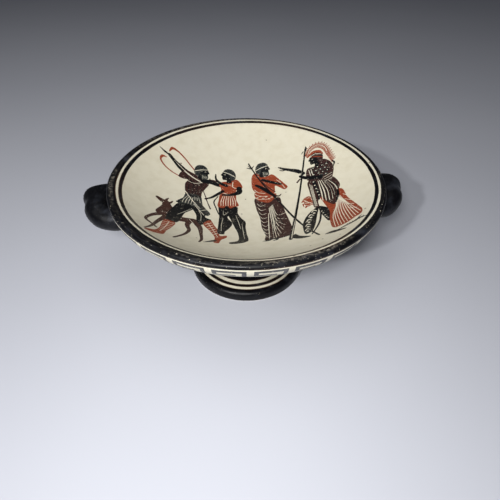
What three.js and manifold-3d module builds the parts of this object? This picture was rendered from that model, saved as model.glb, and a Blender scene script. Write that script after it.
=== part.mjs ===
// A footed drinking cup (kylix): a wide shallow bowl on a short stem and a hollow disc foot,
// with two stout loop handles luted on under the lip. It is one fired piece, so it is one mesh.
// Millimetres, +Z up. The origin is on the table under the middle of the foot; the handles lie
// along X.

import * as THREE from 'three';
import { mergeVertices } from 'three/addons/utils/BufferGeometryUtils.js';
import Module from 'manifold-3d';

const wasm = await Module();
wasm.setup();

// Driving dimensions
const CUP_HEIGHT = 88.5;
const RIM_RADIUS = 100;
const FOOT_RADIUS = 47.4;

// Lip: a small round outer edge, then a crown that rolls over into the bowl
const LIP_EDGE_RADIUS = 2.1;
const LIP_ROLL_RADIUS = 17;
const LIP_ROLL_START = THREE.MathUtils.degToRad(10);
const LIP_ROLL_END = THREE.MathUtils.degToRad(37);

// Bowl: a spherical cap inside, a superellipse outside
const BOWL_OUTSIDE_DEPTH = 40;
const BOWL_OUTSIDE_POWER = 1.8;

// Stem and foot
const STEM_TOP_RADIUS = 22;
const STEM_NECK_RADIUS = 13.5;
const STEM_NECK_HEIGHT = 34.5;
const FOOT_EDGE_HEIGHT = 8.6;
const FOOT_EDGE_ROUND = 2.4;
const FOOT_SHOULDER_RADIUS = 44;
const FOOT_BOTTOM_BEVEL = 0.9;
const REST_RING_WIDTH = 7;
const HOLLOW_DEPTH = 17;
const HOLLOW_POWER = 0.8;

// Loop handles: a clay roll that springs from under the lip, dips, and turns at a pinched end.
// Shaped by hand, each ends in two lobes, and the lobe on the +Y side is the longer and higher.
const HANDLE_ROLL_RADIUS = 8.4;
const HANDLE_HALF_WIDTH = 17.2;
const HANDLE_LOBE_RADIUS = 111;
const HANDLE_LOBE_HALF_SPREAD = 9;
const HANDLE_SKEW = 5;
const HANDLE_RISE = 0.5;
const HANDLE_PINCH = 0.6;
const HANDLE_SPRING_RADIUS = 84;
const HANDLE_SPRING_DROP = 14.5;
const HANDLE_DIP_RADIUS = 92;
const HANDLE_DIP_DROP = 23;
const HANDLE_SHOULDER_RADIUS = 104;
const HANDLE_SHOULDER_HALF_WIDTH = 15.5;
const HANDLE_SHOULDER_DROP = 24.3;
const HANDLE_END_DROP = 22.2;

// Facets
const LATHE_SEGMENTS = 68;
const HANDLE_STEPS = 30;
const HANDLE_SIDES = 14;

const lerpAngles = (from, to, steps, place) => {
  const points = [];
  for (let i = 0; i <= steps; i++) {
    points.push(place(from + ((to - from) * i) / steps));
  }
  return points;
};

const bezierPoints = (start, control1, control2, end, steps) => {
  const curve = new THREE.CubicBezierCurve(
    new THREE.Vector2(...start),
    new THREE.Vector2(...control1),
    new THREE.Vector2(...control2),
    new THREE.Vector2(...end),
  );
  return curve.getPoints(steps);
};

// The bowl's inside, from the middle of the floor up to where the lip's roll begins.
function bowlInside() {
  const edge = lipRollPoint(LIP_ROLL_END);
  const capRadius = edge.x / Math.sin(LIP_ROLL_END);
  const capCentre = edge.y + capRadius * Math.cos(LIP_ROLL_END);
  return lerpAngles(0, LIP_ROLL_END, 12, (angle) => new THREE.Vector2(
    capRadius * Math.sin(angle),
    capCentre - capRadius * Math.cos(angle),
  ));
}

// A point on the lip's inner roll, where the surface has sloped to the given angle.
function lipRollPoint(angle) {
  const edgeCentre = RIM_RADIUS - LIP_EDGE_RADIUS;
  const rollCentreRadius = edgeCentre + (LIP_ROLL_RADIUS - LIP_EDGE_RADIUS) * Math.sin(LIP_ROLL_START);
  const rollCentreHeight = CUP_HEIGHT - LIP_EDGE_RADIUS
    - (LIP_ROLL_RADIUS - LIP_EDGE_RADIUS) * Math.cos(LIP_ROLL_START);
  return new THREE.Vector2(
    rollCentreRadius - LIP_ROLL_RADIUS * Math.sin(angle),
    rollCentreHeight + LIP_ROLL_RADIUS * Math.cos(angle),
  );
}

function lip() {
  const roll = lerpAngles(LIP_ROLL_END, LIP_ROLL_START, 5, lipRollPoint);
  const edge = lerpAngles(-LIP_ROLL_START, Math.PI / 2, 4, (angle) => new THREE.Vector2(
    RIM_RADIUS - LIP_EDGE_RADIUS + LIP_EDGE_RADIUS * Math.sin(angle),
    CUP_HEIGHT - LIP_EDGE_RADIUS + LIP_EDGE_RADIUS * Math.cos(angle),
  ));
  return [...roll.slice(1), ...edge.slice(1)];
}

// Height of the bowl's outside at a radius.
function bowlOutsideHeight(radius) {
  const across = (radius / RIM_RADIUS) ** BOWL_OUTSIDE_POWER;
  const down = BOWL_OUTSIDE_DEPTH * (1 - across) ** (1 / BOWL_OUTSIDE_POWER);
  return CUP_HEIGHT - LIP_EDGE_RADIUS - down;
}

function bowlOutside() {
  const turnAtStem = Math.acos((STEM_TOP_RADIUS / RIM_RADIUS) ** (BOWL_OUTSIDE_POWER / 2));
  return lerpAngles(0, turnAtStem, 14, (angle) => {
    const radius = RIM_RADIUS * Math.cos(angle) ** (2 / BOWL_OUTSIDE_POWER);
    return new THREE.Vector2(radius, bowlOutsideHeight(radius));
  }).slice(1);
}

function stemAndFoot() {
  const stemTop = [STEM_TOP_RADIUS, bowlOutsideHeight(STEM_TOP_RADIUS)];
  const neck = [STEM_NECK_RADIUS, STEM_NECK_HEIGHT];
  const shoulder = [FOOT_SHOULDER_RADIUS, FOOT_EDGE_HEIGHT];
  const underBowl = bezierPoints(
    stemTop, [STEM_NECK_RADIUS + 2.5, stemTop[1] - 0.8], [STEM_NECK_RADIUS, stemTop[1] - 4], neck, 4,
  );
  const flare = bezierPoints(
    neck, [STEM_NECK_RADIUS, STEM_NECK_HEIGHT - 15], [26, FOOT_EDGE_HEIGHT + 3.2], shoulder, 8,
  );
  const edge = bezierPoints(
    shoulder,
    [FOOT_RADIUS - 0.6, FOOT_EDGE_HEIGHT - 0.6],
    [FOOT_RADIUS, FOOT_EDGE_HEIGHT - FOOT_EDGE_ROUND],
    [FOOT_RADIUS, FOOT_EDGE_HEIGHT / 2],
    4,
  );
  return [
    ...underBowl.slice(1),
    ...flare.slice(1),
    ...edge.slice(1),
    new THREE.Vector2(FOOT_RADIUS - 0.2, FOOT_BOTTOM_BEVEL),
    new THREE.Vector2(FOOT_RADIUS - FOOT_BOTTOM_BEVEL, 0),
  ];
}

// The hollow under the foot, from the resting ring up to its roof on the axis.
function footHollow() {
  const ringInner = FOOT_RADIUS - REST_RING_WIDTH;
  const steps = 6;
  const points = [];
  for (let i = 0; i <= steps; i++) {
    const radius = ringInner * (1 - i / steps);
    const height = HOLLOW_DEPTH * (1 - radius / ringInner) ** HOLLOW_POWER;
    points.push(new THREE.Vector2(radius, height));
  }
  return points;
}

// A manifold solid from a closed geometry whose faces may need turning outwards.
function solid(geometry) {
  const bare = geometry.clone();
  bare.deleteAttribute('normal');
  bare.deleteAttribute('uv');
  const merged = mergeVertices(bare, 1e-4);
  const index = merged.index.array;
  const triangles = [];
  for (let i = 0; i < index.length; i += 3) {
    const [a, b, c] = [index[i], index[i + 1], index[i + 2]];
    if (a !== b && b !== c && c !== a) {
      triangles.push(a, b, c);
    }
  }
  return new wasm.Manifold(new wasm.Mesh({
    numProp: 3,
    vertProperties: new Float32Array(merged.attributes.position.array),
    triVerts: new Uint32Array(triangles),
  }));
}

function body() {
  const profile = [
    ...bowlInside(),
    ...lip(),
    ...bowlOutside(),
    ...stemAndFoot(),
    ...footHollow(),
  ];
  profile[0].x = 0;
  profile[profile.length - 1].x = 0;
  const lathe = new THREE.LatheGeometry(profile.reverse(), LATHE_SEGMENTS);
  lathe.rotateX(Math.PI / 2);
  return solid(lathe);
}

function handle(side) {
  const at = (radius, across, drop) => new THREE.Vector3(side * radius, across, CUP_HEIGHT - drop);
  const arm = (end, skew, rise) => [
    at(HANDLE_SPRING_RADIUS, end * HANDLE_HALF_WIDTH, HANDLE_SPRING_DROP),
    at(HANDLE_DIP_RADIUS, end * HANDLE_HALF_WIDTH, HANDLE_DIP_DROP),
    at(
      HANDLE_SHOULDER_RADIUS + skew / 2,
      end * HANDLE_SHOULDER_HALF_WIDTH,
      HANDLE_SHOULDER_DROP - rise,
    ),
    at(HANDLE_LOBE_RADIUS + skew, end * HANDLE_LOBE_HALF_SPREAD, HANDLE_END_DROP - rise),
  ];
  const pinch = at(HANDLE_LOBE_RADIUS + HANDLE_SKEW / 2 - HANDLE_PINCH, 0, HANDLE_END_DROP);
  const longArm = arm(1, HANDLE_SKEW, HANDLE_RISE);
  const shortArm = arm(-1, 0, 0).reverse();
  const path = new THREE.CatmullRomCurve3([...longArm, pinch, ...shortArm], false, 'centripetal');

  const section = new THREE.Shape();
  for (let i = 0; i < HANDLE_SIDES; i++) {
    const angle = (2 * Math.PI * i) / HANDLE_SIDES;
    const x = HANDLE_ROLL_RADIUS * Math.cos(angle);
    const y = HANDLE_ROLL_RADIUS * Math.sin(angle);
    if (i === 0) {
      section.moveTo(x, y);
    } else {
      section.lineTo(x, y);
    }
  }
  return solid(new THREE.ExtrudeGeometry(section, { steps: HANDLE_STEPS, extrudePath: path }));
}

function kylix() {
  const joined = body().add(handle(1)).add(handle(-1)).getMesh();
  const geometry = new THREE.BufferGeometry();
  geometry.setAttribute('position', new THREE.BufferAttribute(joined.vertProperties, 3));
  geometry.setIndex(new THREE.BufferAttribute(joined.triVerts, 1));
  const slip = new THREE.MeshStandardMaterial({ color: 0xd8d2bb, roughness: 0.45, metalness: 0 });
  const mesh = new THREE.Mesh(geometry, slip);
  mesh.name = 'kylix_cup';
  return mesh;
}

const group = new THREE.Group();
group.add(kylix());

export default group;
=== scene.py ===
import math

import bpy
from mathutils import Matrix, Vector, noise
from mathutils.geometry import delaunay_2d_cdt
from mathutils.kdtree import KDTree


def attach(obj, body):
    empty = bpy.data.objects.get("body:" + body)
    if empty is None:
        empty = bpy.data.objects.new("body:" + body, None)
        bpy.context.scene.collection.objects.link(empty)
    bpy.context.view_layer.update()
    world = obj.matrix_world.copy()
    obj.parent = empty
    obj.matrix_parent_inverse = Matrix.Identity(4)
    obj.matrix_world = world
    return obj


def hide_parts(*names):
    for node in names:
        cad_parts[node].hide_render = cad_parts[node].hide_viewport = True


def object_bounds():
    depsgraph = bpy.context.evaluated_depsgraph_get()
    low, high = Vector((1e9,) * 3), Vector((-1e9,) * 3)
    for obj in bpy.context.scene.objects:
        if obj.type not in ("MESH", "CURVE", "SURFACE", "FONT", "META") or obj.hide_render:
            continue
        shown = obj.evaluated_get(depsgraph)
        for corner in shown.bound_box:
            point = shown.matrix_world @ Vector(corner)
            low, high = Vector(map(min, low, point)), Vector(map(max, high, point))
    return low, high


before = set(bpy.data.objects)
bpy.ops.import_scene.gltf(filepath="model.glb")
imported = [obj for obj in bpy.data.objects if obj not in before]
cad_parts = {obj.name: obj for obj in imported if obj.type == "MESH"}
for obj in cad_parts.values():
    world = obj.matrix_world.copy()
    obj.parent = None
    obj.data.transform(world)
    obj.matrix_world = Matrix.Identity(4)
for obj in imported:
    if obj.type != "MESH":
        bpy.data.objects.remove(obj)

# Footed wine cup with a painted picture in the bowl. Shapes are worked out in millimetres,
# Z up, with the middle of the foot at the origin, and turned to metres when a mesh is made.

boxLow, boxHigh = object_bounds()

camera = {
    "place": (2.84, -252.7, 235.5),  # mm, in the picture's own upright frame
    "down": 41.39,                   # degrees
    "roll": 0.53,
    "lens": 28.08,
    "turn": 5.3,                     # the handles sit this far off the picture's upright
}
turned = Matrix.Rotation(-math.radians(camera["turn"]), 3, "Z")

cup = {
    "rim": 100,                      # mm; every other size here is drawn for this radius
    "height": 88.5,
    "lipEdge": 2.1,
    "lipRoll": 17,
    "lipRollStart": math.radians(10),
    "lipRollEnd": math.radians(37),
    "outsideDepth": 40,
    "outsidePower": 1.8,
    "stemTop": 22,
    "stemNeck": 13.5,
    "neckHeight": 34.5,
    "footRadius": 47.4,
    "footEdge": 8.6,
    "footShoulder": 44,
    "bottomBevel": 0.9,
    "restRing": 7,
    "hollowDepth": 17,
    "hollowPower": 0.8,
    "turns": 320,                    # faces round the cup
    "wobble": 0.14,                  # mm that a hand-finished wall wanders
}
rings = {                            # steps along each stretch of the outline
    "inside": 58,
    "lipRoll": 16,
    "lipEdge": 14,
    "outside": 62,
    "neck": 12,
    "flare": 34,
    "footEdge": 12,
    "hollow": 26,
}
scale = boxHigh[1] / cup["rim"]      # metres for each mm drawn here

handle = {
    "roll": 8.4,
    "half": 17.2,
    "spring": (84, 14.5),            # radius, drop below the rim
    "dip": (92, 23),
    "shoulder": (104, 15.5, 24.3),   # radius, half the width there, drop
    "lobe": (111, 9, 22.2),
    "skew": 5,                       # the lobe behind the picture is this much longer
    "rise": 0.5,                     # and this much higher
    "pinch": 0.6,                    # how far the end is pressed in between the lobes
    "heel": 2.8,                     # extra clay pressed in behind the end of the loop
    "fillet": 5,                     # reach of the clay smoothed into a corner
    "sides": 36,
    "pressed": 0.35,                 # mm that smoothing takes off again
    "grain": 1.1,                    # mm between points of the pressed skin
    "strokes": 17,                   # rounds of smoothing
    "patch": 3.2,                    # black brushed onto the wall round each root
}

paint = {
    "lipInner": 95.0,                # radius where the black lip stops inside
    "ringOuter": 93.5,
    "ringInner": 91.1,
    "ringCentre": (1.2, 1.0),        # the rings were turned a little off centre
    "lipBelow": 4.0,                 # the black lip's reach down the outside
    "thinLine": (19.6, 21.2),        # mm down the outside from the lip's edge
    "underBowl": 23.6,
    "footBlack": 35.2,               # radii on the foot
    "footRing": (37.7, 40.3),
    "footEdge": 42.3,
    "thickness": 0.05,               # mm that paint stands proud
    "closeBy": (1.3, 1.2),           # mm round an edge, on the bowl and on the foot, with close rings
    "closeRings": 0.45,
}


def linear(red, green, blue):
    # screen colour, 0 to 255, as the shader wants it
    values = []
    for part in (red, green, blue):
        part /= 255
        values.append(part / 12.92 if part <= 0.04045 else ((part + 0.055) / 1.055) ** 2.4)
    return (*values, 1.0)


def blendCurve(start, control1, control2, end, steps):
    points = []
    for step in range(steps + 1):
        t = step / steps
        u = 1 - t
        points.append(tuple(
            u ** 3 * a + 3 * u * u * t * b + 3 * u * t * t * c + t ** 3 * d
            for a, b, c, d in zip(start, control1, control2, end)
        ))
    return points


def curveThrough(points, steps, closed=False):
    # smooth curve through the points, evenly eased by the distance between them
    points = [Vector(point) for point in points]
    count = len(points)
    spans = count if closed else count - 1
    curve = []
    for i in range(spans):
        p1, p2 = points[i], points[(i + 1) % count]
        p0 = points[i - 1] if closed or i > 0 else p1 * 2 - p2
        p3 = points[(i + 2) % count] if closed or i < spans - 1 else p2 * 2 - p1
        g0, g1, g2 = (max((b - a).length, 1e-6) ** 0.5 for a, b in ((p0, p1), (p1, p2), (p2, p3)))
        m1 = ((p1 - p0) / g0 - (p2 - p0) / (g0 + g1) + (p2 - p1) / g1) * g1
        m2 = ((p2 - p1) / g1 - (p3 - p1) / (g1 + g2) + (p3 - p2) / g2) * g1
        for step in range(steps):
            t = step / steps
            curve.append(
                p1 * (2 * t ** 3 - 3 * t * t + 1) + m1 * (t ** 3 - 2 * t * t + t)
                + p2 * (3 * t * t - 2 * t ** 3) + m2 * (t ** 3 - t * t)
            )
    if not closed:
        curve.append(points[-1])
    return curve


def lipRollPoint(angle):
    reach = cup["lipRoll"] - cup["lipEdge"]
    middle = cup["rim"] - cup["lipEdge"] + reach * math.sin(cup["lipRollStart"])
    level = cup["height"] - cup["lipEdge"] - reach * math.cos(cup["lipRollStart"])
    return (middle - cup["lipRoll"] * math.sin(angle), level + cup["lipRoll"] * math.cos(angle))


bowlEdge = lipRollPoint(cup["lipRollEnd"])
bowlRadius = bowlEdge[0] / math.sin(cup["lipRollEnd"])
bowlCentre = bowlEdge[1] + bowlRadius * math.cos(cup["lipRollEnd"])


def sweep(start, end, steps, place):
    return [place(start + (end - start) * step / steps) for step in range(steps + 1)]


def outsideHeight(radius):
    across = (radius / cup["rim"]) ** cup["outsidePower"]
    down = cup["outsideDepth"] * (1 - across) ** (1 / cup["outsidePower"])
    return cup["height"] - cup["lipEdge"] - down


def cupOutline():
    # radius and height from the floor of the bowl, over the lip and down to the hollow's roof
    rim, foot, neck = cup["rim"], cup["footRadius"], (cup["stemNeck"], cup["neckHeight"])
    edgeRadius, power = cup["lipEdge"], cup["outsidePower"]
    inside = sweep(0, cup["lipRollEnd"], rings["inside"], lambda angle: (
        bowlRadius * math.sin(angle), bowlCentre - bowlRadius * math.cos(angle)))
    roll = sweep(cup["lipRollEnd"], cup["lipRollStart"], rings["lipRoll"], lipRollPoint)
    edge = sweep(-cup["lipRollStart"], math.pi / 2, rings["lipEdge"], lambda angle: (
        rim - edgeRadius + edgeRadius * math.sin(angle),
        cup["height"] - edgeRadius + edgeRadius * math.cos(angle)))
    turnAtStem = math.acos((cup["stemTop"] / rim) ** (power / 2))
    outside = sweep(0, turnAtStem, rings["outside"], lambda angle: (
        rim * math.cos(angle) ** (2 / power), outsideHeight(rim * math.cos(angle) ** (2 / power))))
    stemTop = (cup["stemTop"], outsideHeight(cup["stemTop"]))
    shoulder = (cup["footShoulder"], cup["footEdge"])
    under = blendCurve(stemTop, (neck[0] + 2.5, stemTop[1] - 0.8), (neck[0], stemTop[1] - 4), neck,
                       rings["neck"])
    flare = blendCurve(neck, (neck[0], neck[1] - 15), (26, cup["footEdge"] + 3.2), shoulder,
                       rings["flare"])
    edgeRound = blendCurve(shoulder, (foot - 0.6, cup["footEdge"] - 0.6), (foot, cup["footEdge"] - 2.4),
                           (foot, cup["footEdge"] / 2), rings["footEdge"])
    bottom = [(foot - 0.05, 2.4), (foot - 0.2, cup["bottomBevel"]), (foot - 0.45, 0.3),
              (foot - cup["bottomBevel"], 0)]
    hollowEdge = foot - cup["restRing"]
    resting = [(foot - cup["bottomBevel"] - 2.6, 0), (hollowEdge + 1.6, 0)]
    hollow = sweep(0, 1, rings["hollow"], lambda share: (
        hollowEdge * (1 - share), cup["hollowDepth"] * share ** cup["hollowPower"]))
    upper = inside + roll[1:] + edge[1:] + outside[1:]
    lower = under[1:] + flare[1:] + edgeRound[1:] + bottom + resting + hollow
    return upper + lower, len(inside) + rings["lipRoll"]


def measureOutline(points, zeroPoint):
    # mm along the outline, nought at the lip's edge, growing down the outside
    along = [0.0]
    for before, after in zip(points, points[1:]):
        along.append(along[-1] + math.dist(before, after))
    zero = along[points.index(zeroPoint)]
    return [station - zero for station in along]


def refineNearPaint(points, zeroPoint):
    # closer rings where the black slip ends, so that its edges stay crisp
    edges = [paint["lipBelow"], *paint["thinLine"], paint["underBowl"]]
    along = measureOutline(points, zeroPoint)
    finer = [points[0]]
    for index in range(1, len(points)):
        (r0, h0), (r1, h1) = points[index - 1], points[index]
        middle = (along[index] + along[index - 1]) / 2
        onFoot = h1 < cup["neckHeight"] - 12 and middle > 60 and r1 > r0
        radii = (paint["footBlack"], *paint["footRing"], paint["footEdge"]) if onFoot else ()
        near = any(abs(middle - edge) < paint["closeBy"][0] for edge in edges)
        near = near or any(abs((r0 + r1) / 2 - radius) < paint["closeBy"][1] for radius in radii)
        pieces = math.ceil((along[index] - along[index - 1]) / paint["closeRings"]) if near else 1
        for piece in range(1, pieces + 1):
            finer.append((r0 + (r1 - r0) * piece / pieces, h0 + (h1 - h0) * piece / pieces))
    return finer


outline, lipTop = cupOutline()
outline[0] = (0, outline[0][1])
outline[-1] = (0, outline[-1][1])
lipCrest = outline[lipTop]
outline = refineNearPaint(outline, lipCrest)
outline[-1] = (0, outline[-1][1])
stations = measureOutline(outline, lipCrest)


def outlineAt(station):
    # point and outward slope on the outline
    index = next(i for i, value in enumerate(stations) if value >= station)
    index = max(index, 1)
    a, b = outline[index - 1], outline[index]
    t = (station - stations[index - 1]) / (stations[index] - stations[index - 1])
    along = ((b[0] - a[0]), (b[1] - a[1]))
    length = math.hypot(*along)
    point = (a[0] + along[0] * t, a[1] + along[1] * t)
    return point, (-along[1] / length, along[0] / length)


def stationAtRadius(radius, start):
    # the first place past start where the outline is that far from the axis
    for index in range(1, len(outline)):
        before, after = outline[index - 1][0] - radius, outline[index][0] - radius
        if stations[index] > start and after * before <= 0:
            return stations[index]
    return stations[-1]


def wander(point):
    # how far the hand-finished wall leans out or in here, mm
    return cup["wobble"] * noise.noise(Vector(point) / 38)


def handlePath(side):
    top = cup["height"]

    def arm(end, skew, rise):
        shoulder, lobe = handle["shoulder"], handle["lobe"]
        return [
            (side * handle["spring"][0], end * handle["half"], top - handle["spring"][1]),
            (side * handle["dip"][0], end * handle["half"], top - handle["dip"][1]),
            (side * (shoulder[0] + skew / 2), end * shoulder[1], top - shoulder[2] + rise),
            (side * (lobe[0] + skew), end * lobe[1], top - lobe[2] + rise),
        ]

    middle = handle["lobe"][0] + handle["skew"] / 2 - handle["pinch"]
    pinch = (side * middle, 0, top - handle["lobe"][2])
    return curveThrough(arm(1, handle["skew"], handle["rise"]) + [pinch] + arm(-1, 0, 0)[::-1], 14)


handlePaths = [handlePath(side) for side in (-1, 1)]
handleTree = KDTree(sum(len(path) for path in handlePaths))
for index, point in enumerate(handlePaths[0] + handlePaths[1]):
    handleTree.insert(point, index)
handleTree.balance()
outlineTree = KDTree(len(outline))
for index, (radius, height) in enumerate(outline):
    outlineTree.insert((radius, height, 0), index)
outlineTree.balance()


def handleGap(point):
    # mm from a point to the nearest handle's skin
    return handleTree.find(point)[2] - handle["roll"]


def swell(gap):
    # how far clay is smoothed out into the corner at this gap from the other piece
    share = max(handle["fillet"] - max(gap, 0), 0) / handle["fillet"]
    return share * share * handle["fillet"] / 4


def meshFrom(name, points, faces):
    mesh = bpy.data.meshes.new(name)
    mesh.from_pydata([Vector(point) * scale for point in points], [], faces)
    mesh.validate()
    made = bpy.data.objects.new(name, mesh)
    bpy.context.scene.collection.objects.link(made)
    return made


def turnCup():
    # the bowl, stem and foot as one turned skin
    turns = cup["turns"]
    points = [(0, 0, outline[0][1])]
    for station, (radius, height) in list(zip(stations, outline))[1:-1]:
        _, (outR, outZ) = outlineAt(min(station, stations[-1] - 1e-6))
        for turn in range(turns):
            angle = 2 * math.pi * turn / turns
            away = Vector((math.cos(angle), math.sin(angle), 0))
            point = away * radius + Vector((0, 0, height))
            push = wander(point) if height > 0.5 else 0
            if 0 < station < 60:
                push += swell(handleGap(point)) * min(1, station / 9)
            points.append(point + (away * outR + Vector((0, 0, outZ))) * push)
    points.append((0, 0, outline[-1][1]))
    faces = []
    hoops = len(outline) - 2
    last = len(points) - 1
    for turn in range(turns):
        after = (turn + 1) % turns
        faces.append((0, 1 + turn, 1 + after))
        for hoop in range(hoops - 1):
            low, high = 1 + hoop * turns, 1 + (hoop + 1) * turns
            faces.append((low + turn, high + turn, high + after, low + after))
        low = 1 + (hoops - 1) * turns
        faces.append((low + after, low + turn, last))
    return meshFrom("kylix_body", points, faces)


def wallGap(point):
    # mm from a point outside the bowl to its wall
    radius = math.hypot(point[0], point[1])
    found, index, gap = outlineTree.find((radius, point[2], 0))
    _, outward = outlineAt(min(stations[index], stations[-1] - 1e-6))
    side = (radius - found[0]) * outward[0] + (point[2] - found[1]) * outward[1]
    return math.copysign(gap, side)


def rollHandle(name, path):
    # a clay roll swept along the loop
    sides = handle["sides"]
    points, faces = [], []
    for index, middle in enumerate(path):
        ahead = (path[min(index + 1, len(path) - 1)] - path[max(index - 1, 0)]).normalized()
        across = ahead.cross(Vector((0, 0, 1))).normalized()
        upward = across.cross(ahead)
        for side in range(sides):
            angle = 2 * math.pi * side / sides
            away = across * math.cos(angle) + upward * math.sin(angle)
            skin = middle + away * (handle["roll"] + handle["pressed"])
            inward = max(0, -away[0] * math.copysign(1, middle[0]))
            inward *= max(0, 1 - (middle[1] / 11) ** 2)
            skin[0] -= math.copysign(handle["heel"] * inward, middle[0])
            points.append(skin)
    for index in range(len(path) - 1):
        for side in range(sides):
            after = (side + 1) % sides
            low, high = index * sides, (index + 1) * sides
            faces.append((low + side, low + after, high + after, high + side))
    faces.append(tuple(reversed(range(sides))))
    faces.append(tuple(range((len(path) - 1) * sides, len(path) * sides)))
    return meshFrom(name, points, faces)


def pressSmooth(roll):
    # one even skin, then the unevenness of hand work and a fillet where the roll meets the wall
    press = roll.modifiers.new("press", "REMESH")
    press.mode = "VOXEL"
    press.voxel_size = handle["grain"] * scale
    smooth = roll.modifiers.new("smooth", "SMOOTH")
    smooth.factor = 0.5
    smooth.iterations = handle["strokes"]
    bakeModifiers(roll)
    moved = []
    for vertex in roll.data.vertices:
        skin = vertex.co / scale
        uneven = 0.5 * noise.noise(skin / 13) + 0.14 * noise.noise(skin / 5)
        moved.append(vertex.co + vertex.normal * (uneven + swell(wallGap(skin)) - 0.1) * scale)
    for vertex, place in zip(roll.data.vertices, moved):
        vertex.co = place


def bakeModifiers(made):
    bpy.context.view_layer.update()
    graph = bpy.context.evaluated_depsgraph_get()
    baked = bpy.data.meshes.new_from_object(made.evaluated_get(graph))
    made.modifiers.clear()
    made.data = baked


def joinClay(body, rolls):
    # lute the handles on: one closed skin
    for roll in rolls:
        pressSmooth(roll)
        join = body.modifiers.new("lute", "BOOLEAN")
        join.operation = "UNION"
        join.solver = "MANIFOLD"
        join.object = roll
    bakeModifiers(body)
    for roll in rolls:
        bpy.data.objects.remove(roll)


def bands():
    # stretches of the outside that are black, in mm along the outline
    footStart = stationAtRadius(cup["stemNeck"] + 1, 60)
    while outlineAt(footStart)[0][1] > cup["neckHeight"]:
        footStart += 0.5
    onFoot = [stationAtRadius(radius, footStart + 1)
              for radius in (paint["footBlack"], *paint["footRing"], paint["footEdge"])]
    underEdge = stationAtRadius(cup["footRadius"] - cup["bottomBevel"] / 2, onFoot[3] + 6)
    return [
        (-1e3, paint["lipBelow"]), paint["thinLine"], (paint["underBowl"], onFoot[0]),
        (onFoot[1], onFoot[2]), (onFoot[3], underEdge),
    ]


def blackDepth(point, blackBands, ringCentre):
    # mm inside the black (above nought) or outside it (below nought)
    radius = math.hypot(point[0], point[1])
    found, index, _ = outlineTree.find((radius, point[2], 0))
    nearHandle = handleGap(point)
    station = stations[index]
    if abs(point[0]) > 80 and station > 0 and nearHandle < 0.9:
        return 4.0  # the handles are black all over
    if index > 0 and index < len(outline) - 1:
        before, after = outline[index - 1], outline[index + 1]
        along = Vector((after[0] - before[0], after[1] - before[1])).normalized()
        station += (radius - found[0]) * along[0] + (point[2] - found[1]) * along[1]
    if station < 0:
        fromCentre = math.hypot(point[0] - ringCentre[0], point[1] - ringCentre[1])
        middle = (paint["ringOuter"] + paint["ringInner"]) / 2
        ring = (paint["ringOuter"] - paint["ringInner"]) / 2 - abs(fromCentre - middle)
        depth = max(ring, fromCentre - paint["lipInner"])
        return min(depth, paint["lipBelow"] - station)
    depth = max(min(station - start, end - station) for start, end in blackBands)
    if station < 60:
        depth = max(depth, handle["patch"] - nearHandle)
    return depth


wear = {
    "crest": (98.4, 3.0),            # radius on the lip, reach: rubbed
    "foot": (46.4, 7.4, 2.2),        # radius and height on the foot's edge, reach: rubbed
    "table": 1.2,                    # height that rubs on the table
    "powderAndSheen": (96.8, 1.9),           # radius on the lip, reach: pale powder, partly painted sheen
}


def markPaint(body):
    blackBands = bands()
    ringCentre = turned @ Vector((*paint["ringCentre"], 0))
    mesh = body.data
    marks = {"blackDepth": [], "rubbed": [], "powderedAndSheen": []}
    for vertex in mesh.vertices:
        point = vertex.co / scale
        radius = math.hypot(point[0], point[1])
        onLip = point[2] > cup["height"] - 6
        crest = max(0, 1 - abs(radius - wear["crest"][0]) / wear["crest"][1]) if onLip else 0
        low = max(0, 1 - point[2] / wear["table"]) if radius > 38 else 0
        footRim = max(0, 1 - math.dist((radius, point[2]), wear["foot"][:2]) / wear["foot"][2])
        # the pale band inside the lip: partly powder, partly painted sheen on the black
        pale = max(0, 1 - abs(radius - wear["powderAndSheen"][0]) / wear["powderAndSheen"][1]) if onLip else 0
        marks["blackDepth"].append(max(min(blackDepth(point, blackBands, ringCentre), 4), -4))
        marks["rubbed"].append(max(crest, low, 0.6 * footRim))
        marks["powderedAndSheen"].append(pale)
    for name, values in marks.items():
        mesh.attributes.new(name, "FLOAT", "POINT").data.foreach_set("value", values)


def widened(points, widths, steps=7):
    # a brush stroke along a curve, with its width given at each point
    middle = curveThrough(points, steps)
    left, right = [], []
    for index, place in enumerate(middle):
        share = index / steps
        whole = min(int(share), len(widths) - 2)
        part = share - whole
        width = widths[whole] + (widths[whole + 1] - widths[whole]) * part
        ahead = (middle[min(index + 1, len(middle) - 1)] - middle[max(index - 1, 0)]).normalized()
        across = Vector((-ahead[1], ahead[0])) * (width / 2)
        left.append(place + across)
        right.append(place - across)
    tip = []
    ahead = (middle[-1] - middle[-2]).normalized()
    for step in range(1, 4):
        angle = math.pi * step / 4
        out = Vector((-ahead[1], ahead[0])) * math.cos(angle) + ahead * math.sin(angle)
        tip.append(middle[-1] + out * (widths[-1] / 2))
    tail = []
    behind = (middle[0] - middle[1]).normalized()
    for step in range(1, 4):
        angle = math.pi * step / 4
        out = Vector((-behind[1], behind[0])) * math.cos(angle) + behind * math.sin(angle)
        tail.append(middle[0] + out * (widths[0] / 2))
    return left + tip + right[::-1] + tail


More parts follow.
